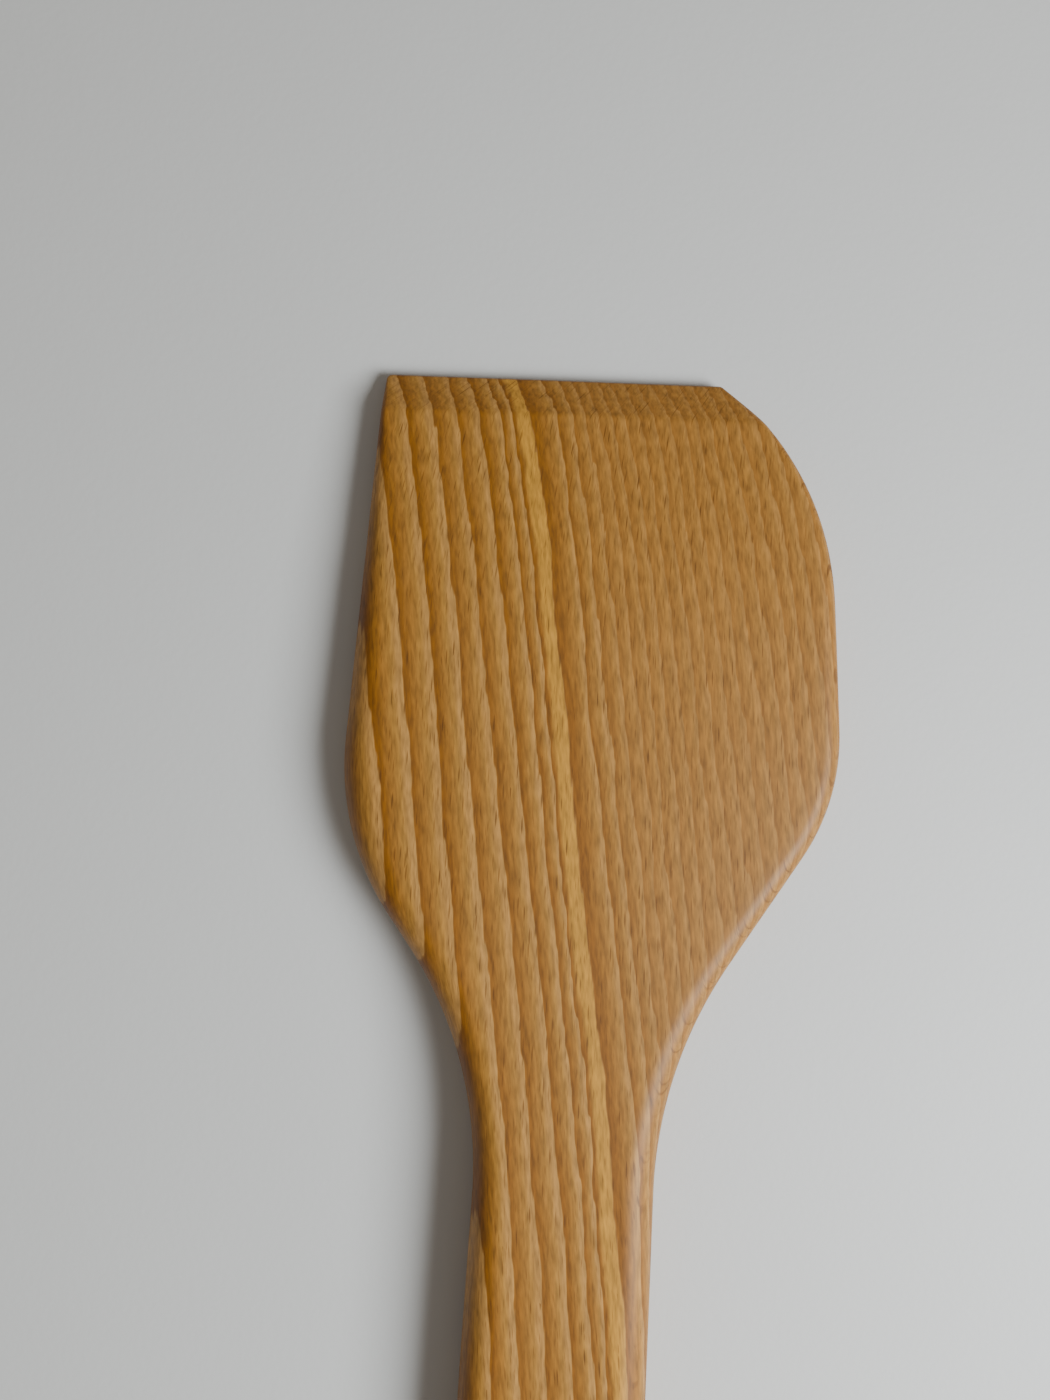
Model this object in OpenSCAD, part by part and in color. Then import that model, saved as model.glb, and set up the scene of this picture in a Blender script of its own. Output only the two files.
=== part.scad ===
// Wooden pan turner, shaped from one board of beech.
// The handle lies along Y, and the front edge of the blade faces +Y. The flat back rests on z = 0.
// Seen from above, the front edge has a square corner at the left and one cut well back at the right.
// Depth is measured back from the front edge, and reach sideways from the handle's centre line.

/* [Handle] */
// Length from the end of the handle to the front edge
overall_length = 300; // [240:5:360]
// Thickness of the handle
handle_thickness = 11; // [9:0.5:15]
// Width near the end of the handle, which is rounded to half of it
handle_end_width = 30; // [26:1:36]
// Width at the neck, where the lines of the handle and the shoulders cross
neck_width = 23.5; // [19:0.5:27]
// Depth of the neck
neck_depth = 92; // [88:1:105]
// Radius of the hollow curve from the left shoulder into the handle
left_neck_radius = 53; // [20:1:60]
// Radius of the hollow curve from the right shoulder into the handle
right_neck_radius = 56; // [20:1:60]

/* [Blade outline] */
// Reach of the square front corner
left_corner_reach = 30; // [22:0.5:36]
// Small flat that eases the square front corner
left_corner_ease = 0.8; // [0.3:0.1:2]
// Reach of the front edge at the right, where the cut corner starts
right_corner_reach = 16; // [8:0.5:24]
// Depth at which the cut corner meets the right side
right_side_depth = 13.7; // [8:0.1:20]
// Reach at which the cut corner meets the right side
right_side_reach = 31; // [27:0.5:34]
// Radius that rounds the cut corner into the right side
right_side_radius = 39.5; // [10:0.5:50]
// Depth of the left shoulder
left_shoulder_depth = 63.6; // [50:0.2:70]
// Reach of the left shoulder
left_shoulder_reach = 33.2; // [30:0.2:40]
// Radius of the left shoulder
left_shoulder_radius = 36; // [10:1:40]
// Depth of the right shoulder
right_shoulder_depth = 55.7; // [50:0.1:70]
// Reach of the right shoulder
right_shoulder_reach = 34.3; // [31:0.1:40]
// Radius of the right shoulder
right_shoulder_radius = 28; // [10:1:40]
// Angle by which the front edge is out of square with the handle
front_skew = 1; // [0:0.25:4]

/* [Blade thickness] */
// Thickness at the very front
edge_thickness = 2; // [1.4:0.1:3]
// Length of the bevel on the upper face
bevel_length = 5.6; // [3:0.2:10]
// Thickness at the back of the bevel
bevel_thickness = 4.9; // [3.5:0.1:6]
// Depth at which the front part of the blade starts to thin
thinning_depth = 24.7; // [16:0.1:40]
// Thickness there
thinning_thickness = 7.4; // [6.2:0.1:8.5]
// Depth at which the blade has grown to the full thickness of the handle
full_thickness_depth = 104; // [94:1:130]
// Radius that blends the slopes of the upper face
slope_radius = 250; // [60:10:400]

/* [Rounded edges] */
// Radius that eases the edges of the front face
front_ease = 0.4; // [0.2:0.05:0.6]
// Radius of both upper edges at the back of the bevel
bevel_round = 1; // [0.5:0.1:2]
// Radius of the upper left edge along the blade
left_round = 4.8; // [2:0.1:5]
// Radius of the upper right edge along the blade
right_round = 2.8; // [2:0.1:5]
// Radius of the upper edges along the handle
handle_round = 4.2; // [2:0.1:5]
// Radius of the lower edges along the blade
blade_back_round = 1.6; // [0.5:0.1:3]
// Radius of the lower edges along the handle
handle_back_round = 3; // [1:0.1:4]

/* [Hanging hole] */
// Diameter of the hanging hole
hole_diameter = 6; // [3:0.5:10]
// Distance from the end of the handle to the middle of the hole
hole_from_end = 15; // [12:0.5:40]
// Flat that eases both rims of the hole
hole_rim = 0.8; // [0.3:0.1:1.5]

/* [Hidden] */

// Longest spacing of the cross-sections along the blade, and along the straight handle
blade_step = 2;
handle_step = 15;
// Steps in each arc of the outline, in the quarter of the round end and in the edge rounding
arc_steps = 12;
end_steps = 10;
upper_steps = 5;
lower_steps = 3;
// Largest share of a straight leg that the rounded corners at its ends may take up
leg_share = 0.98;
// Largest shares of the thickness that the upper and the lower rounding may take up
upper_share = 0.6;
lower_share = 0.32;
// Distance that a cutting tool reaches past the face that it cuts
overcut = 1;
hole_sides = 64;

end_radius = handle_end_width / 2;
end_depth = overall_length - end_radius;
neck_reach = neck_width / 2;
blade_end = neck_depth + left_neck_radius / 2;

function unit(v) = v / norm(v);
function turned(v, angle) = [v.x * cos(angle) - v.y * sin(angle), v.x * sin(angle) + v.y * cos(angle)];
function cross_2d(a, b) = a.x * b.y - a.y * b.x;

// Half the angle between the two legs that meet at a corner of a path
function half_angle_at(corners, i) =
    acos(unit(corners[i - 1] - corners[i]) * unit(corners[i + 1] - corners[i])) / 2;

// Length that rounding a corner takes off each of its legs, where nothing limits it
function wanted_cut(corners, radii, i) =
    i == 0 || i == len(corners) - 1 ? 0 : radii[i - 1] / tan(half_angle_at(corners, i));

// The same length, kept so that the cuts at both ends of a leg fit on it
function fitting_cut(corners, radii, i) =
    let (
        cut = wanted_cut(corners, radii, i),
        room_before = leg_share * norm(corners[i] - corners[i - 1]),
        room_after = leg_share * norm(corners[i + 1] - corners[i])
    )
    cut * min(
        1,
        room_before / (cut + wanted_cut(corners, radii, i - 1)),
        room_after / (cut + wanted_cut(corners, radii, i + 1))
    );

// One inner corner of a path as an arc
function rounded_corner(corners, radii, i) =
    let (
        back = unit(corners[i - 1] - corners[i]),
        ahead = unit(corners[i + 1] - corners[i]),
        half_angle = half_angle_at(corners, i),
        cut = fitting_cut(corners, radii, i),
        centre = corners[i] + unit(back + ahead) * cut / cos(half_angle),
        spoke = corners[i] + back * cut - centre,
        sweep = sign(cross_2d(ahead, back)) * (180 - 2 * half_angle)
    )
    [for (step = [0 : arc_steps]) centre + turned(spoke, sweep * step / arc_steps)];

// A path through its corners, with every inner corner rounded by its own radius
function rounded_path(corners, radii) = [
    corners[0],
    for (i = [1 : len(corners) - 2]) each rounded_corner(corners, radii, i),
    corners[len(corners) - 1]
];

// Both sides of the outline and the upper face, each as points of [depth, reach or thickness]
left_path = rounded_path(
    [
        [left_corner_ease, left_corner_reach],
        [left_shoulder_depth, left_shoulder_reach],
        [neck_depth, neck_reach],
        [end_depth, end_radius]
    ],
    [left_shoulder_radius, left_neck_radius]
);
right_path = rounded_path(
    [
        [0, right_corner_reach],
        [right_side_depth, right_side_reach],
        [right_shoulder_depth, right_shoulder_reach],
        [neck_depth, neck_reach],
        [end_depth, end_radius]
    ],
    [right_side_radius, right_shoulder_radius, right_neck_radius]
);
upper_path = concat(
    [[0, edge_thickness]],
    rounded_path(
        [
            [bevel_length, bevel_thickness],
            [thinning_depth, thinning_thickness],
            [full_thickness_depth, handle_thickness],
            [overall_length, handle_thickness]
        ],
        [slope_radius, slope_radius]
    )
);

function thickness_at(depth) = lookup(depth, upper_path);

// Reach of the left side, with the eased corner in front of it
function left_reach_at(depth) =
    depth < left_corner_ease
        ? left_corner_reach - left_corner_ease + depth
        : lookup(depth, left_path);
function right_reach_at(depth) = lookup(depth, right_path);

// Radii of the upper and lower edges, kept within their shares of the thickness
function upper_round_at(depth, blade_round) =
    let (
        shoulder_depth = (left_shoulder_depth + right_shoulder_depth) / 2,
        radius = lookup(depth, [
            [0, front_ease],
            [bevel_length, bevel_round],
            [thinning_depth, (bevel_round + 2 * blade_round) / 3],
            [shoulder_depth, blade_round],
            [full_thickness_depth, handle_round]
        ])
    )
    min(radius, upper_share * thickness_at(depth));
function lower_round_at(depth) =
    let (
        radius = lookup(depth, [
            [0, front_ease],
            [thinning_depth, blade_back_round],
            [full_thickness_depth, handle_back_round]
        ])
    )
    min(radius, lower_share * thickness_at(depth));

// How far a cross-section slants towards the front at the right, per unit of reach.
// The slant of the front edge fades out between the bevel and the neck.
function slant_at(depth) =
    tan(front_skew) * min(1, max(0, (neck_depth - depth) / (neck_depth - bevel_length)));

// Depths of the cross-sections, from the front edge to where the round end starts
function evenly(start, stop, step) =
    let (count = ceil((stop - start) / step))
    [for (i = [0 : count - 1]) start + (stop - start) * i / count];
depths = concat(
    [0, left_corner_ease],
    evenly(bevel_length, blade_end, blade_step),
    evenly(blade_end, end_depth, handle_step),
    [end_depth]
);

// The outline as one loop: down the left side, round the end and up the right side.
// Each entry is [place, direction inwards, depth, side], where side is -1, 0 or 1.
function side_place(depth, side) =
    let (reach = side * (side < 0 ? left_reach_at(depth) : right_reach_at(depth)))
    [reach, overall_length - depth + reach * slant_at(depth)];

// Inwards along the slanted section, as far as the edge is turned away from it
function side_inwards(depth, side) =
    let (
        half_step = left_corner_ease / 2,
        start = side_place(max(depth - half_step, 0), side),
        stop = side_place(depth + half_step, side),
        normal = unit([side * (stop.y - start.y), side * (start.x - stop.x)]),
        along = [-side, -side * slant_at(depth)]
    )
    along / (normal * along);

function side_entries(side) = [
    for (depth = depths) [side_place(depth, side), side_inwards(depth, side), depth, side]
];
function end_entry(angle) =
    let (outwards = [-cos(angle), -sin(angle)])
    [[0, end_radius] + end_radius * outwards, -outwards, overall_length, sign(-cos(angle))];

function backwards(list) = [for (i = [len(list) - 1 : -1 : 0]) list[i]];
outline = concat(
    side_entries(-1),
    [for (i = [1 : 2 * end_steps - 1]) end_entry(90 * i / end_steps)],
    backwards(side_entries(1))
);
outline_count = len(outline);
half_count = (outline_count - 1) / 2;

// One point of the skin above an outline entry, at an angle of the lower or the upper rounding.
// At the front edge the rounding also leads back from the front face.
function skin_point(entry, is_upper, angle) =
    let (
        blade_round = entry[3] < 0 ? left_round : right_round,
        radius = is_upper ? upper_round_at(entry[2], blade_round) : lower_round_at(entry[2]),
        inset = radius * (1 - cos(angle)),
        set_back = entry[2] == 0 ? inset : 0,
        place = entry[0] + inset * entry[1] - [0, set_back],
        rise = radius * (1 - sin(angle))
    )
    [place.x, place.y, is_upper ? thickness_at(entry[2] + set_back) - rise : rise];

// Rings of the skin, from the flat back up to the upper face
rings = concat(
    [for (i = [lower_steps : -1 : 0]) [false, 90 * i / lower_steps]],
    [for (i = [0 : upper_steps]) [true, 90 * i / upper_steps]]
);
ring_count = len(rings);
skin_points = [for (ring = rings, entry = outline) skin_point(entry, ring[0], ring[1])];

function ring_index(ring, i) = ring * outline_count + i % outline_count;

// The skin's sides, ring by ring
side_faces = [
    for (ring = [0 : ring_count - 2], i = [0 : outline_count - 1])
        each [
            [ring_index(ring, i), ring_index(ring + 1, i), ring_index(ring + 1, i + 1)],
            [ring_index(ring, i), ring_index(ring + 1, i + 1), ring_index(ring, i + 1)]
        ]
];

// A flat skin of strips from side to side of one ring, seen from above or, backwards, from below
function cross_strips(ring) = [
    for (i = [0 : half_count - 2])
        let (left = ring_index(ring, i), right = ring_index(ring, 2 * half_count - i))
        each [[left, right, right - 1], [left, right - 1, left + 1]],
    let (tip = ring_index(ring, half_count)) [tip - 1, tip + 1, tip]
];
back_faces = [for (face = cross_strips(0)) backwards(face)];
upper_faces = cross_strips(ring_count - 1);

// The origin stands at the middle of the whole outline
outline_x = [for (entry = outline) entry[0].x];
outline_y = [for (entry = outline) entry[0].y];
middle = [(min(outline_x) + max(outline_x)) / 2, (min(outline_y) + max(outline_y)) / 2];

module shaped_board() {
    polyhedron(points = skin_points, faces = concat(back_faces, side_faces, upper_faces));
}

// Straight hole through the handle, with both rims opened out
module hanging_hole() {
    rim_radius = hole_diameter / 2 + hole_rim;
    translate([0, hole_from_end, 0]) {
        translate([0, 0, -overcut])
            cylinder(h = handle_thickness + 2 * overcut, d = hole_diameter, $fn = hole_sides);
        translate([0, 0, -overcut])
            cylinder(
                h = hole_rim + overcut,
                r1 = rim_radius + overcut,
                r2 = hole_diameter / 2,
                $fn = hole_sides
            );
        translate([0, 0, handle_thickness - hole_rim])
            cylinder(
                h = hole_rim + overcut,
                r1 = hole_diameter / 2,
                r2 = rim_radius + overcut,
                $fn = hole_sides
            );
    }
}

module pan_turner() {
    color("peru")
        translate([-middle.x, -middle.y, 0])
            difference() {
                shaped_board();
                hanging_hole();
            }
}

pan_turner();
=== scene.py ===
import math

import bmesh
import bpy
import numpy as np
from mathutils import Matrix, Vector, noise


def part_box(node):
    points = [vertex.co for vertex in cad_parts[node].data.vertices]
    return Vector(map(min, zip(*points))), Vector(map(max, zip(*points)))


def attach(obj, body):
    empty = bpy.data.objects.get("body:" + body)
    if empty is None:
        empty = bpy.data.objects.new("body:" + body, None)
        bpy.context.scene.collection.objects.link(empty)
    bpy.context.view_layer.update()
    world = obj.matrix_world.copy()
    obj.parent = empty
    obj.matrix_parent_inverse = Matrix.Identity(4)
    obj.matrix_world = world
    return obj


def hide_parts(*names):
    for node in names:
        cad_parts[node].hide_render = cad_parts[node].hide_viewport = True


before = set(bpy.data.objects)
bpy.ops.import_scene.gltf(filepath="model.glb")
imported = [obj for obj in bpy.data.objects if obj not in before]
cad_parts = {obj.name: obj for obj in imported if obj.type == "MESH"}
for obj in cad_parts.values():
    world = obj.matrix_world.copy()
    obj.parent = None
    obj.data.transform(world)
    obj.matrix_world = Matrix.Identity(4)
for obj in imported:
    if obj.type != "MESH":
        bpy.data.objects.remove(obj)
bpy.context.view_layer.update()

MM = 0.001

# Camera. The photograph was taken by hand from straight above the blade, close enough for
# strong perspective, with the lens of an ordinary phone. Its long side is 1400 of 1050 by 1400.
PHOTO_WIDTH = 1050
PHOTO_HEIGHT = 1400
LENS_MM = 27.04
SENSOR_MM = 36
CAMERA_X = -9.15 * MM
CAMERA_Y = 105.53 * MM
CAMERA_Z = 146.51 * MM
CAMERA_ROLL = math.radians(3.152)

camera_data = bpy.data.cameras.new("photo_camera")
camera_data.lens = LENS_MM
camera_data.sensor_width = SENSOR_MM
camera_data.clip_start = 0.01
camera = bpy.data.objects.new("photo_camera", camera_data)
camera.location = (CAMERA_X, CAMERA_Y, CAMERA_Z)
camera.rotation_euler = (0, 0, CAMERA_ROLL)
bpy.context.scene.collection.objects.link(camera)
bpy.context.scene.camera = camera


def linear(hex_colour):
    """A colour written as sRGB hex, as the linear values that shaders and lamps take."""
    values = [int(hex_colour[i:i + 2], 16) / 255 for i in (1, 3, 5)]
    return [v / 12.92 if v <= 0.04045 else ((v + 0.055) / 1.055) ** 2.4 for v in values] + [1]


def add(tree, kind, inputs=None, **settings):
    """Adds a shader node with its settings, and sets or links each of its inputs."""
    made = tree.nodes.new("ShaderNode" + kind)
    for name, value in settings.items():
        setattr(made, name, value)
    for name, value in (inputs or {}).items():
        if isinstance(value, bpy.types.Node):
            value = value.outputs[0]
        if isinstance(value, bpy.types.NodeSocket):
            tree.links.new(value, made.inputs[name])
        else:
            made.inputs[name].default_value = value
    return made


def new_material(name):
    """A material with an empty node tree, and that tree."""
    material = bpy.data.materials.new(name)
    material.use_nodes = True
    material.node_tree.nodes.clear()
    return material, material.node_tree


# Table top under the turner: smooth laminate with a matt, faintly pebbled coating, nearly white.
# It is only the floor of the picture, and one flat sheet is enough for it.
FLOOR_HALF_SIDE = 1.5
FLOOR_GAP = 0.02 * MM
FLOOR_COLOUR = "#c9c9c6"
PEBBLE_SCALE = 900

floor_bmesh = bmesh.new()
bmesh.ops.create_grid(floor_bmesh, x_segments=1, y_segments=1, size=FLOOR_HALF_SIDE)
bmesh.ops.translate(floor_bmesh, verts=floor_bmesh.verts, vec=(0, 0, -FLOOR_GAP))
floor_mesh = bpy.data.meshes.new("floor")
floor_bmesh.to_mesh(floor_mesh)
floor_bmesh.free()
floor = bpy.data.objects.new("floor", floor_mesh)
bpy.context.scene.collection.objects.link(floor)

laminate, tree = new_material("matt_laminate")
place = add(tree, "TexCoord").outputs["Object"]
pebble = add(tree, "TexNoise", {"Vector": place, "Scale": PEBBLE_SCALE, "Detail": 2})
relief = add(tree, "Bump", {"Height": pebble, "Strength": 0.12, "Distance": 0.2 * MM})
shader = add(tree, "BsdfPrincipled", {
    "Base Color": linear(FLOOR_COLOUR),
    "Roughness": 0.6,
    "Normal": relief,
})
add(tree, "OutputMaterial", {"Surface": shader})
floor_mesh.materials.append(laminate)

# Light. One broad window-like lamp at the right and a little towards the handle, and a pale
# world that fills the shade. Both are plain, so colours render about as they are written.
LAMP_PLACE = Vector((0.30, -0.04, 0.30))
LAMP_AIM = Vector((0.0, 0.07, 0.0))
LAMP_SIDE = 0.22
LAMP_WATTS = 4.0
LAMP_COLOUR = "#f6fbff"
WORLD_COLOUR = "#fff6ec"
WORLD_STRENGTH = 0.26

lamp_data = bpy.data.lights.new("window_lamp", "AREA")
lamp_data.shape = "SQUARE"
lamp_data.size = LAMP_SIDE
lamp_data.energy = LAMP_WATTS
lamp_data.color = linear(LAMP_COLOUR)[:3]
lamp = bpy.data.objects.new("window_lamp", lamp_data)
lamp.location = LAMP_PLACE
lamp.rotation_euler = (LAMP_AIM - LAMP_PLACE).to_track_quat("-Z", "Y").to_euler()
bpy.context.scene.collection.objects.link(lamp)

world = bpy.data.worlds.new("pale_room")
world.use_nodes = True
world.node_tree.nodes.clear()
background = add(world.node_tree, "Background", {
    "Color": linear(WORLD_COLOUR),
    "Strength": WORLD_STRENGTH,
})
add(world.node_tree, "OutputWorld", {"Surface": background})
bpy.context.scene.world = world

# Pan turner. One board of beech, sawn to outline, planed thinner towards the front, bevelled,
# rounded along its edges with a cutter and sanded by hand. Depth is measured back from the front
# edge and reach sideways from the handle's centre line, in millimetres, as in the solid model.
LENGTH = 300
HANDLE_THICKNESS = 11
END_RADIUS = 15
END_DEPTH = LENGTH - END_RADIUS
NECK = Vector((92, 11.75))
LEFT_CORNER = Vector((0, 30))
LEFT_SHOULDER = Vector((63.6, 33.2))
LEFT_RADII = (36, 53)
RIGHT_CORNER = Vector((0, 16))
RIGHT_SIDE = Vector((13.7, 31))
RIGHT_SHOULDER = Vector((55.7, 34.3))
RIGHT_RADII = (39.5, 28, 56)
CORNER_RADIUS = 0.8
FRONT_SKEW = math.radians(1)
EDGE_THICKNESS = 2
BEVEL = Vector((5.6, 4.9))
THINNING = Vector((24.7, 7.4))
FULL_THICKNESS = Vector((104, HANDLE_THICKNESS))
SLOPE_RADII = (3, 250, 250)
FRONT_EASE = 0.4
BEVEL_ROUND = 1
LEFT_ROUND = 4.8
RIGHT_ROUND = 2.8
HANDLE_ROUND = 4.2
BLADE_BACK_ROUND = 1.6
HANDLE_BACK_ROUND = 3
HOLE_RADIUS = 3
HOLE_FROM_END = 15
HOLE_RIM = 0.8
UPPER_SHARE = 0.6
LOWER_SHARE = 0.32

# How finely the skin is divided: columns from side to side, rows in the front corners and in the
# round end, and steps round the upper and the lower edge.
HALF_COLUMNS = 16
CORNER_ROWS = 5
UPPER_STEPS = 9
LOWER_STEPS = 6
ARC_STEPS = 24


def corner_arc(before, corner, after, radius, steps):
    """The arc that rounds one corner of a path, and its centre."""
    back = (before - corner).normalized()
    ahead = (after - corner).normalized()
    half = back.angle(ahead) / 2
    start = corner + back * radius / math.tan(half)
    centre = corner + (back + ahead).normalized() * radius / math.sin(half)
    sweep = math.copysign(math.pi - 2 * half, ahead.cross(back))
    turns = [Matrix.Rotation(sweep * i / steps, 2) for i in range(steps + 1)]
    return [centre + turn @ (start - centre) for turn in turns], centre


def rounded_path(corners, radii):
    """A path through its corners, with every inner corner rounded by its own radius."""
    path = [corners[0]]
    for i, radius in enumerate(radii):
        path += corner_arc(*corners[i:i + 3], radius, ARC_STEPS)[0]
    return path + [corners[-1]]


def lookup(path, depth):
    """The second value of a path of points, at a depth along it."""
    return float(np.interp(depth, [point.x for point in path], [point.y for point in path]))


LEFT_PATH = rounded_path([LEFT_CORNER, LEFT_SHOULDER, NECK, Vector((END_DEPTH, END_RADIUS))], LEFT_RADII)
RIGHT_PATH = rounded_path(
    [RIGHT_CORNER, RIGHT_SIDE, RIGHT_SHOULDER, NECK, Vector((END_DEPTH, END_RADIUS))], RIGHT_RADII)
UPPER_PATH = rounded_path(
    [Vector((0, EDGE_THICKNESS)), BEVEL, THINNING, FULL_THICKNESS, Vector((LENGTH, HANDLE_THICKNESS))],
    SLOPE_RADII)
UPPER_ROUNDS = {
    side: [
        Vector((0, FRONT_EASE)),
        Vector((CORNER_RADIUS, FRONT_EASE)),
        Vector((BEVEL.x, BEVEL_ROUND)),
        Vector((THINNING.x, (BEVEL_ROUND + 2 * blade_round) / 3)),
        Vector(((LEFT_SHOULDER.x + RIGHT_SHOULDER.x) / 2, blade_round)),
        Vector((FULL_THICKNESS.x, HANDLE_ROUND)),
    ]
    for side, blade_round in ((-1, LEFT_ROUND), (1, RIGHT_ROUND))
}
LOWER_ROUNDS = [
    Vector((0, FRONT_EASE)),
    Vector((CORNER_RADIUS, FRONT_EASE)),
    Vector((THINNING.x, BLADE_BACK_ROUND)),
    Vector((FULL_THICKNESS.x, HANDLE_BACK_ROUND)),
]


def edge_round(depth, side, is_upper):
    """Radius of an edge, kept within its share of the thickness."""
    if is_upper:
        return min(lookup(UPPER_ROUNDS[side], depth), UPPER_SHARE * lookup(UPPER_PATH, depth))
    return min(lookup(LOWER_ROUNDS, depth), LOWER_SHARE * lookup(UPPER_PATH, depth))


def slant(depth):
    """How far a cross-section slants forwards per unit of reach. It fades out towards the neck."""
    return math.tan(FRONT_SKEW) * min(1, max(0, (NECK.x - depth) / (NECK.x - BEVEL.x)))


def from_front(depth, x):
    """A place seen from above, with y measured from the end of the handle."""
    return Vector((x, LENGTH - depth + x * slant(depth)))


def spread(start, stop, longest):
    """Depths from start to just before stop, no further apart than the longest step."""
    count = math.ceil((stop - start) / longest)
    return [start + (stop - start) * i / count for i in range(count)]


# Rows of the skin, from the end of the handle to the front edge. A row of the round end is known
# by its share of the end's radius, one of the front corners by its share of their arcs, and any
# other by its depth. Near the hanging hole the rows are as close together as the columns.
cell = (END_RADIUS - HANDLE_ROUND) / HALF_COLUMNS
hole_rows = HALF_COLUMNS // 2
hole_edge = END_DEPTH - hole_rows * cell
depths = (
    spread(1.2, BEVEL.x - 0.6, 0.6)
    + spread(BEVEL.x - 0.6, BEVEL.x + 0.6, 0.2)
    + spread(BEVEL.x + 0.6, NECK.x + 30, 1.25)
    + spread(NECK.x + 30, hole_edge, 2)
    + spread(hole_edge, END_DEPTH, cell)
    + [END_DEPTH]
)
rows = [("end", -1 + i / HALF_COLUMNS) for i in range(HALF_COLUMNS)]
rows += [("depth", depth) for depth in reversed(depths)]
rows += [("corner", 1 - i / (CORNER_ROWS - 1)) for i in range(CORNER_ROWS)]
last_row = len(rows) - 1


def side_points(row, is_upper, inset_share):
    """The left and right point of a row, moved inwards by a share of the edge's radius."""
    kind, value = rows[row]
    points = []
    for side, path, corner in ((-1, LEFT_PATH, LEFT_CORNER), (1, RIGHT_PATH, RIGHT_CORNER)):
        if kind == "corner":
            arc, centre = corner_arc(Vector((0, 0)), corner, path[1], CORNER_RADIUS, CORNER_ROWS - 1)
            on_arc = arc[round(value * (CORNER_ROWS - 1))]
            inset = inset_share * edge_round(on_arc.x, side, is_upper)
            on_arc = on_arc + (centre - on_arc).normalized() * inset
            points.append(from_front(on_arc.x, side * on_arc.y))
        else:
            reach = lookup(path, value)
            slope = (lookup(path, value + 0.5) - lookup(path, value - 0.5))
            inset = inset_share * edge_round(value, side, is_upper) * math.hypot(1, slope)
            points.append(from_front(value, side * (reach - inset)))
    return points


def skin_place(across, row, is_upper, angle):
    """A place on the skin. The angle is 0 on the upright side and a quarter turn on the face."""
    inset_share = 1 - math.cos(angle)
    kind, value = rows[row]
    if kind == "end":
        reach = END_RADIUS - inset_share * edge_round(LENGTH, 1, is_upper)
        place = Vector((
            reach * across * math.sqrt(1 - value * value / 2),
            END_RADIUS + reach * value * math.sqrt(1 - across * across / 2),
        ))
    else:
        left, right = side_points(row, is_upper, inset_share)
        place = left.lerp(right, (across + 1) / 2)
    depth = min(max(LENGTH - place.y + place.x * slant(LENGTH - place.y), 0), LENGTH)
    side = -1 if across < 0 else 1
    drop = (1 - math.sin(angle)) * edge_round(depth, side, is_upper)
    return (place.x, place.y, lookup(UPPER_PATH, depth) - drop if is_upper else drop)


# The upper face starts as a square grid, and a copy of it is the flat back. Three values on each
# vertex tell where it belongs: across, from -1 to 1, its row, and its height, from 0 to 1.
wood = bmesh.new()
across_layer = wood.verts.layers.float.new("across")
row_layer = wood.verts.layers.float.new("row")
height_layer = wood.verts.layers.float.new("height")
bmesh.ops.create_grid(wood, x_segments=2 * HALF_COLUMNS, y_segments=last_row, size=1)
for vert in wood.verts:
    vert[across_layer] = vert.co.x
    vert[row_layer] = (vert.co.y + 1) / 2 * last_row
    vert[height_layer] = 1
copied = bmesh.ops.duplicate(wood, geom=wood.verts[:] + wood.edges[:] + wood.faces[:])["geom"]
for vert in (item for item in copied if isinstance(item, bmesh.types.BMVert)):
    vert[height_layer] = 0
    vert.co.z = -1
bmesh.ops.reverse_faces(wood, faces=[item for item in copied if isinstance(item, bmesh.types.BMFace)])

# The side is bridged between the rims of the two faces and divided into rings.
rims = [edge for edge in wood.edges if edge.is_boundary]
bridged = bmesh.ops.bridge_loops(wood, edges=rims)
upright = [
    edge for edge in bridged["edges"]
    if abs(edge.verts[0][height_layer] - edge.verts[1][height_layer]) > 0.5
]
ring_steps = LOWER_STEPS + 1 + UPPER_STEPS
bmesh.ops.subdivide_edges(wood, edges=upright, cuts=ring_steps - 1, use_grid_fill=True)

# A square around the hanging hole is opened in both faces before the grid takes its shape.
hole_row = HALF_COLUMNS
around_hole = [
    face for face in wood.faces
    if all(abs(vert[across_layer]) < 0.51 and abs(vert[row_layer] - hole_row) < hole_rows + 0.1
           and vert[height_layer] in (0, 1) for vert in face.verts)
]
bmesh.ops.delete(wood, geom=around_hole, context="FACES")

for vert in wood.verts:
    ring = round(vert[height_layer] * ring_steps)
    is_upper = ring > LOWER_STEPS
    if is_upper:
        angle = math.pi / 2 * (ring - LOWER_STEPS - 1) / UPPER_STEPS
    else:
        angle = math.pi / 2 * (1 - ring / LOWER_STEPS)
    vert.co = skin_place(vert[across_layer], round(vert[row_layer]), is_upper, angle)

# The hole is bridged from each square opening to a circle, and from circle to circle.
hole_middle = Vector((0, HOLE_FROM_END, 0))
circles = []
for height in (0, HANDLE_THICKNESS):
    opening = [
        edge for edge in wood.edges
        if edge.is_boundary and all(abs(vert.co.z - height) < 0.01 for vert in edge.verts)
    ]
    circle = bmesh.ops.create_circle(
        wood, segments=8 * hole_rows, radius=HOLE_RADIUS,
        matrix=Matrix.Translation(hole_middle + Vector((0, 0, height))))["verts"]
    circle_edges = list({edge for vert in circle for edge in vert.link_edges})
    circles.append(circle_edges)
    bmesh.ops.bridge_loops(wood, edges=opening + circle_edges)
bmesh.ops.bridge_loops(wood, edges=circles[0] + circles[1])
bmesh.ops.bevel(
    wood, geom=circles[0] + circles[1], offset=HOLE_RIM, offset_type="OFFSET", segments=5,
    profile=0.5, affect="EDGES", material=-1, clamp_overlap=False)
bmesh.ops.recalc_face_normals(wood, faces=wood.faces)

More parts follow.
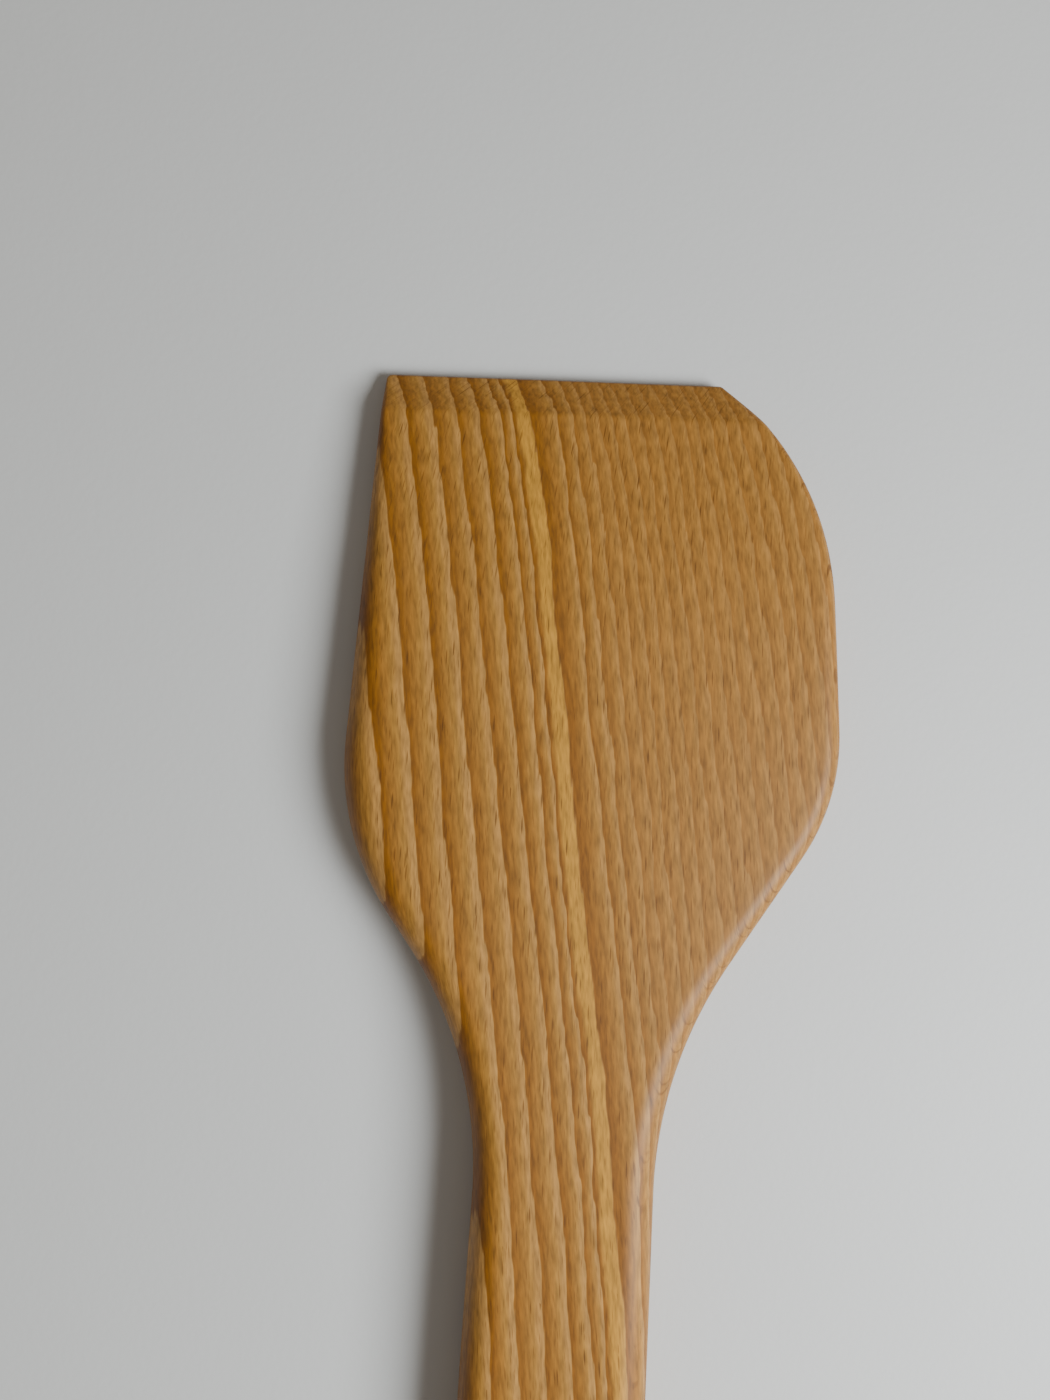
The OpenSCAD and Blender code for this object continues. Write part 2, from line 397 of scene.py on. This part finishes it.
# Hand sanding leaves the faces a few hundredths of a millimetre uneven. The unevenness only takes
# wood away, so that the turner stays within its full size.
SANDING_DEPTH = 0.09
SANDING_PATCH = 16
wood.normal_update()
for vert, normal in [(vert, vert.normal.copy()) for vert in wood.verts]:
    patch = noise.noise(vert.co / SANDING_PATCH) / 2 + 0.5
    vert.co -= normal * SANDING_DEPTH * patch

low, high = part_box("pan_turner")
outline_left = min(vert.co.x for vert in wood.verts)
outline_right = max(vert.co.x for vert in wood.verts)
shift = Vector(((low[0] + high[0]) / 2 - (outline_left + outline_right) / 2 * MM, low[1], low[2]))
bmesh.ops.transform(wood, matrix=Matrix.Translation(shift) @ Matrix.Scale(MM, 4), verts=wood.verts)
for face in wood.faces:
    face.smooth = True
turner_mesh = bpy.data.meshes.new("beech_turner")
wood.to_mesh(turner_mesh)
wood.free()
turner = bpy.data.objects.new("beech_turner", turner_mesh)
bpy.context.scene.collection.objects.link(turner)
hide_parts("pan_turner")
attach(turner, "root")

# Oiled beech. The pattern is cut out of a log, in millimetres: growth rings round a pith that lies
# below and right of the blade, rays that run out from the pith as thin sheets, and fibres along
# it. The pith leans by this much to the right and down for each millimetre towards the handle.
PITH = (73.9, 105, -37.4)
PITH_LEAN = (0.118, 0, -0.0142)

# Rings are evenly thin in the young wood and widen outwards from there, except for a few lean
# years that crowd together. Each starts pale and ends dark. Waves shift them: each wave has its
# length across the grain, its length along it, and how far it moves a ring.
YOUNG_RADIUS = 84
YOUNG_RING = 1.6
RING_GROWTH = 0.09
LEAN_YEARS_RADIUS = 91
LEAN_YEARS_HALF = 3.2
LEAN_YEARS_SHIFT = 0.6
GOLDEN_RING = 8
RING_WAVES = ((14, 60, 0.35), (3, 16, 0.22), (0.7, 5, 0.16))
RING_COLOURS = (
    (0, "#a97d42"),
    (0.14, "#a87b3f"),
    (0.35, "#9b6e2d"),
    (0.55, "#906122"),
    (0.75, "#865616"),
    (0.87, "#7a4a0a"),
    (0.97, "#784808"),
    (1, "#9e7136"),
)
MEAN_WOOD = "#92642a"
GOLDEN_WOOD = "#b27f2c"
YOUNG_CONTRAST = 0.42

# Ray sheets, coarse and fine: the gaps between sheets across the face, along the grain and
# outwards, then half the width, height and reach of one sheet, and how dark it is.
RAY_COLOUR = "#5c3609"
RAY_LEVEL = 46
RAY_SHEETS = ((0.85, 3.4, 11, 0.13, 1.4, 5, 0.85), (0.45, 2, 6, 0.085, 0.85, 2.7, 0.6))

beech, tree = new_material("oiled_beech")
place = add(tree, "VectorMath", {0: add(tree, "TexCoord").outputs["Object"], "Scale": 1 / MM},
            operation="SCALE")
from_pith = add(tree, "VectorMath", {0: place, 1: PITH}, operation="SUBTRACT")
along = add(tree, "SeparateXYZ", {0: from_pith}).outputs["Y"]
lean = add(tree, "VectorMath", {0: PITH_LEAN, "Scale": along}, operation="SCALE")
log = add(tree, "VectorMath", {0: from_pith, 1: lean}, operation="ADD")
across_log = add(tree, "VectorMath", {0: log, 1: (1, 0, 1)}, operation="MULTIPLY")

wavy = across_log
for wave_across, wave_along, amount in RING_WAVES:
    waves = add(tree, "VectorMath",
                {0: place, 1: (1 / wave_across, 1 / wave_along, 1 / wave_across)}, operation="MULTIPLY")
    drift = add(tree, "TexNoise", {"Vector": waves, "Scale": 1, "Detail": 1})
    centred = add(tree, "VectorMath", {0: drift.outputs["Color"], 1: (0.5, 0.5, 0.5)},
                  operation="SUBTRACT")
    wavy = add(tree, "VectorMath", {0: centred, 1: (4 * amount, 0, 4 * amount), 2: wavy},
               operation="MULTIPLY_ADD")
radius = add(tree, "VectorMath", {0: wavy}, operation="LENGTH").outputs["Value"]
old = add(tree, "Math", {0: radius, 1: YOUNG_RADIUS}, operation="SUBTRACT")
width = add(tree, "Math", {0: old, 1: RING_GROWTH, 2: YOUNG_RING}, operation="MULTIPLY_ADD")
old_width = add(tree, "Math", {0: width, 1: YOUNG_RING}, operation="MAXIMUM")
old_count = add(tree, "Math", {0: old_width, 1: math.exp(RING_GROWTH)}, operation="LOGARITHM")
young = add(tree, "Math", {0: old, 1: 0}, operation="MINIMUM")
count = add(tree, "Math", {0: young, 1: 1 / YOUNG_RING, 2: old_count}, operation="MULTIPLY_ADD")
from_lean = add(tree, "Math", {0: radius, 1: LEAN_YEARS_RADIUS}, operation="SUBTRACT")
from_lean = add(tree, "Math", {0: from_lean}, operation="ABSOLUTE")
crowded = add(tree, "MapRange", {"Value": from_lean, "From Min": 0, "From Max": LEAN_YEARS_HALF,
                                 "To Min": -LEAN_YEARS_SHIFT, "To Max": 0},
              interpolation_type="SMOOTHSTEP")
count = add(tree, "Math", {0: count, 1: crowded}, operation="ADD")
in_ring = add(tree, "Math", {0: count}, operation="FRACT")
ring = add(tree, "Math", {0: count}, operation="FLOOR")
ring_luck = add(tree, "TexWhiteNoise", {"W": ring}, noise_dimensions="1D")
ramp = add(tree, "ValToRGB", {"Fac": in_ring})
while len(ramp.color_ramp.elements) < len(RING_COLOURS):
    ramp.color_ramp.elements.new(0.5)
for stop, (position, colour) in zip(ramp.color_ramp.elements, RING_COLOURS):
    stop.position = position
    stop.color = linear(colour)
strength = add(tree, "MapRange", {"Value": radius, "From Min": 82, "From Max": 90,
                                  "To Min": YOUNG_CONTRAST, "To Max": 1})
luck = add(tree, "MapRange", {"Value": ring_luck, "From Min": 0, "From Max": 1, "To Min": 0.75, "To Max": 1})
contrast = add(tree, "Math", {0: strength, 1: luck}, operation="MULTIPLY")
colour = add(tree, "Mix", {0: contrast, 6: linear(MEAN_WOOD), 7: ramp}, data_type="RGBA").outputs[2]
golden = add(tree, "Math", {0: ring, 1: GOLDEN_RING, 2: 0.5}, operation="COMPARE")
pale_part = add(tree, "MapRange", {"Value": in_ring, "From Min": 0.4, "From Max": 0.8,
                                   "To Min": 0.85, "To Max": 0}, interpolation_type="SMOOTHSTEP")
golden = add(tree, "Math", {0: golden, 1: pale_part}, operation="MULTIPLY")
colour = add(tree, "Mix", {0: golden, 6: colour, 7: linear(GOLDEN_WOOD)}, data_type="RGBA").outputs[2]

# Each ray is a thin dark sheet in a plane through the pith, so it shows as a short upright dash
# on the face, as a slanting line on the bevel and as a broad patch where the wood is cut along it.
parts = add(tree, "SeparateXYZ", {0: log})
plane = add(tree, "Math", {0: parts.outputs["X"], 1: parts.outputs["Z"]}, operation="DIVIDE")
plane = add(tree, "Math", {0: plane, 1: RAY_LEVEL}, operation="MULTIPLY")
straight_radius = add(tree, "VectorMath", {0: across_log}, operation="LENGTH").outputs["Value"]
sheet_place = add(tree, "CombineXYZ", {"X": plane, "Y": parts.outputs["Y"], "Z": straight_radius})
for gap_across, gap_along, gap_out, half_width, half_height, half_out, strength in RAY_SHEETS:
    cells = add(tree, "VectorMath", {0: sheet_place, 1: (1 / gap_across, 1 / gap_along, 1 / gap_out)},
                operation="MULTIPLY")
    nearest = add(tree, "TexVoronoi", {"Vector": cells, "Scale": 1})
    away = add(tree, "VectorMath", {0: cells, 1: nearest.outputs["Position"]}, operation="SUBTRACT")
    away = add(tree, "VectorMath",
               {0: away, 1: (gap_across / half_width, gap_along / half_height, gap_out / half_out)},
               operation="MULTIPLY")
    away = add(tree, "SeparateXYZ", {0: away})
    lens = add(tree, "Math", {0: away.outputs["X"]}, operation="ABSOLUTE")
    lens = add(tree, "Math", {0: away.outputs["Y"], 1: away.outputs["Y"], 2: lens},
               operation="MULTIPLY_ADD")
    lens = add(tree, "Math", {0: away.outputs["Z"], 1: away.outputs["Z"], 2: lens},
               operation="MULTIPLY_ADD")
    ray = add(tree, "MapRange", {"Value": lens, "From Min": 0.3, "From Max": 1.1, "To Min": 1, "To Max": 0},
              interpolation_type="SMOOTHSTEP")
    ray_luck = add(tree, "SeparateColor", {0: nearest.outputs["Color"]})
    depth = add(tree, "Math", {0: ray, 1: ray_luck.outputs[0]}, operation="MULTIPLY")
    depth = add(tree, "Math", {0: depth, 1: strength}, operation="MULTIPLY")
    colour = add(tree, "Mix", {0: depth, 6: colour, 7: linear(RAY_COLOUR)}, data_type="RGBA").outputs[2]

# Fibres are fine streaks along the grain, lighter and darker than the rest.
FIBRE_ACROSS = 0.4
FIBRE_ALONG = 2.6
fibre_place = add(tree, "VectorMath", {0: log, 1: (1 / FIBRE_ACROSS, 1 / FIBRE_ALONG, 1 / FIBRE_ACROSS)},
                  operation="MULTIPLY")
fibre = add(tree, "TexNoise", {"Vector": fibre_place, "Scale": 1, "Detail": 2})
shade = add(tree, "MapRange", {"Value": fibre, "From Min": 0.25, "From Max": 0.75,
                               "To Min": 0.68, "To Max": 1.32})
colour = add(tree, "VectorMath", {0: colour, "Scale": shade}, operation="SCALE")

shader = add(tree, "BsdfPrincipled", {
    "Base Color": colour,
    "Roughness": 0.5,
    "Specular IOR Level": 0.3,
})
add(tree, "OutputMaterial", {"Surface": shader})
turner_mesh.materials.append(beech)
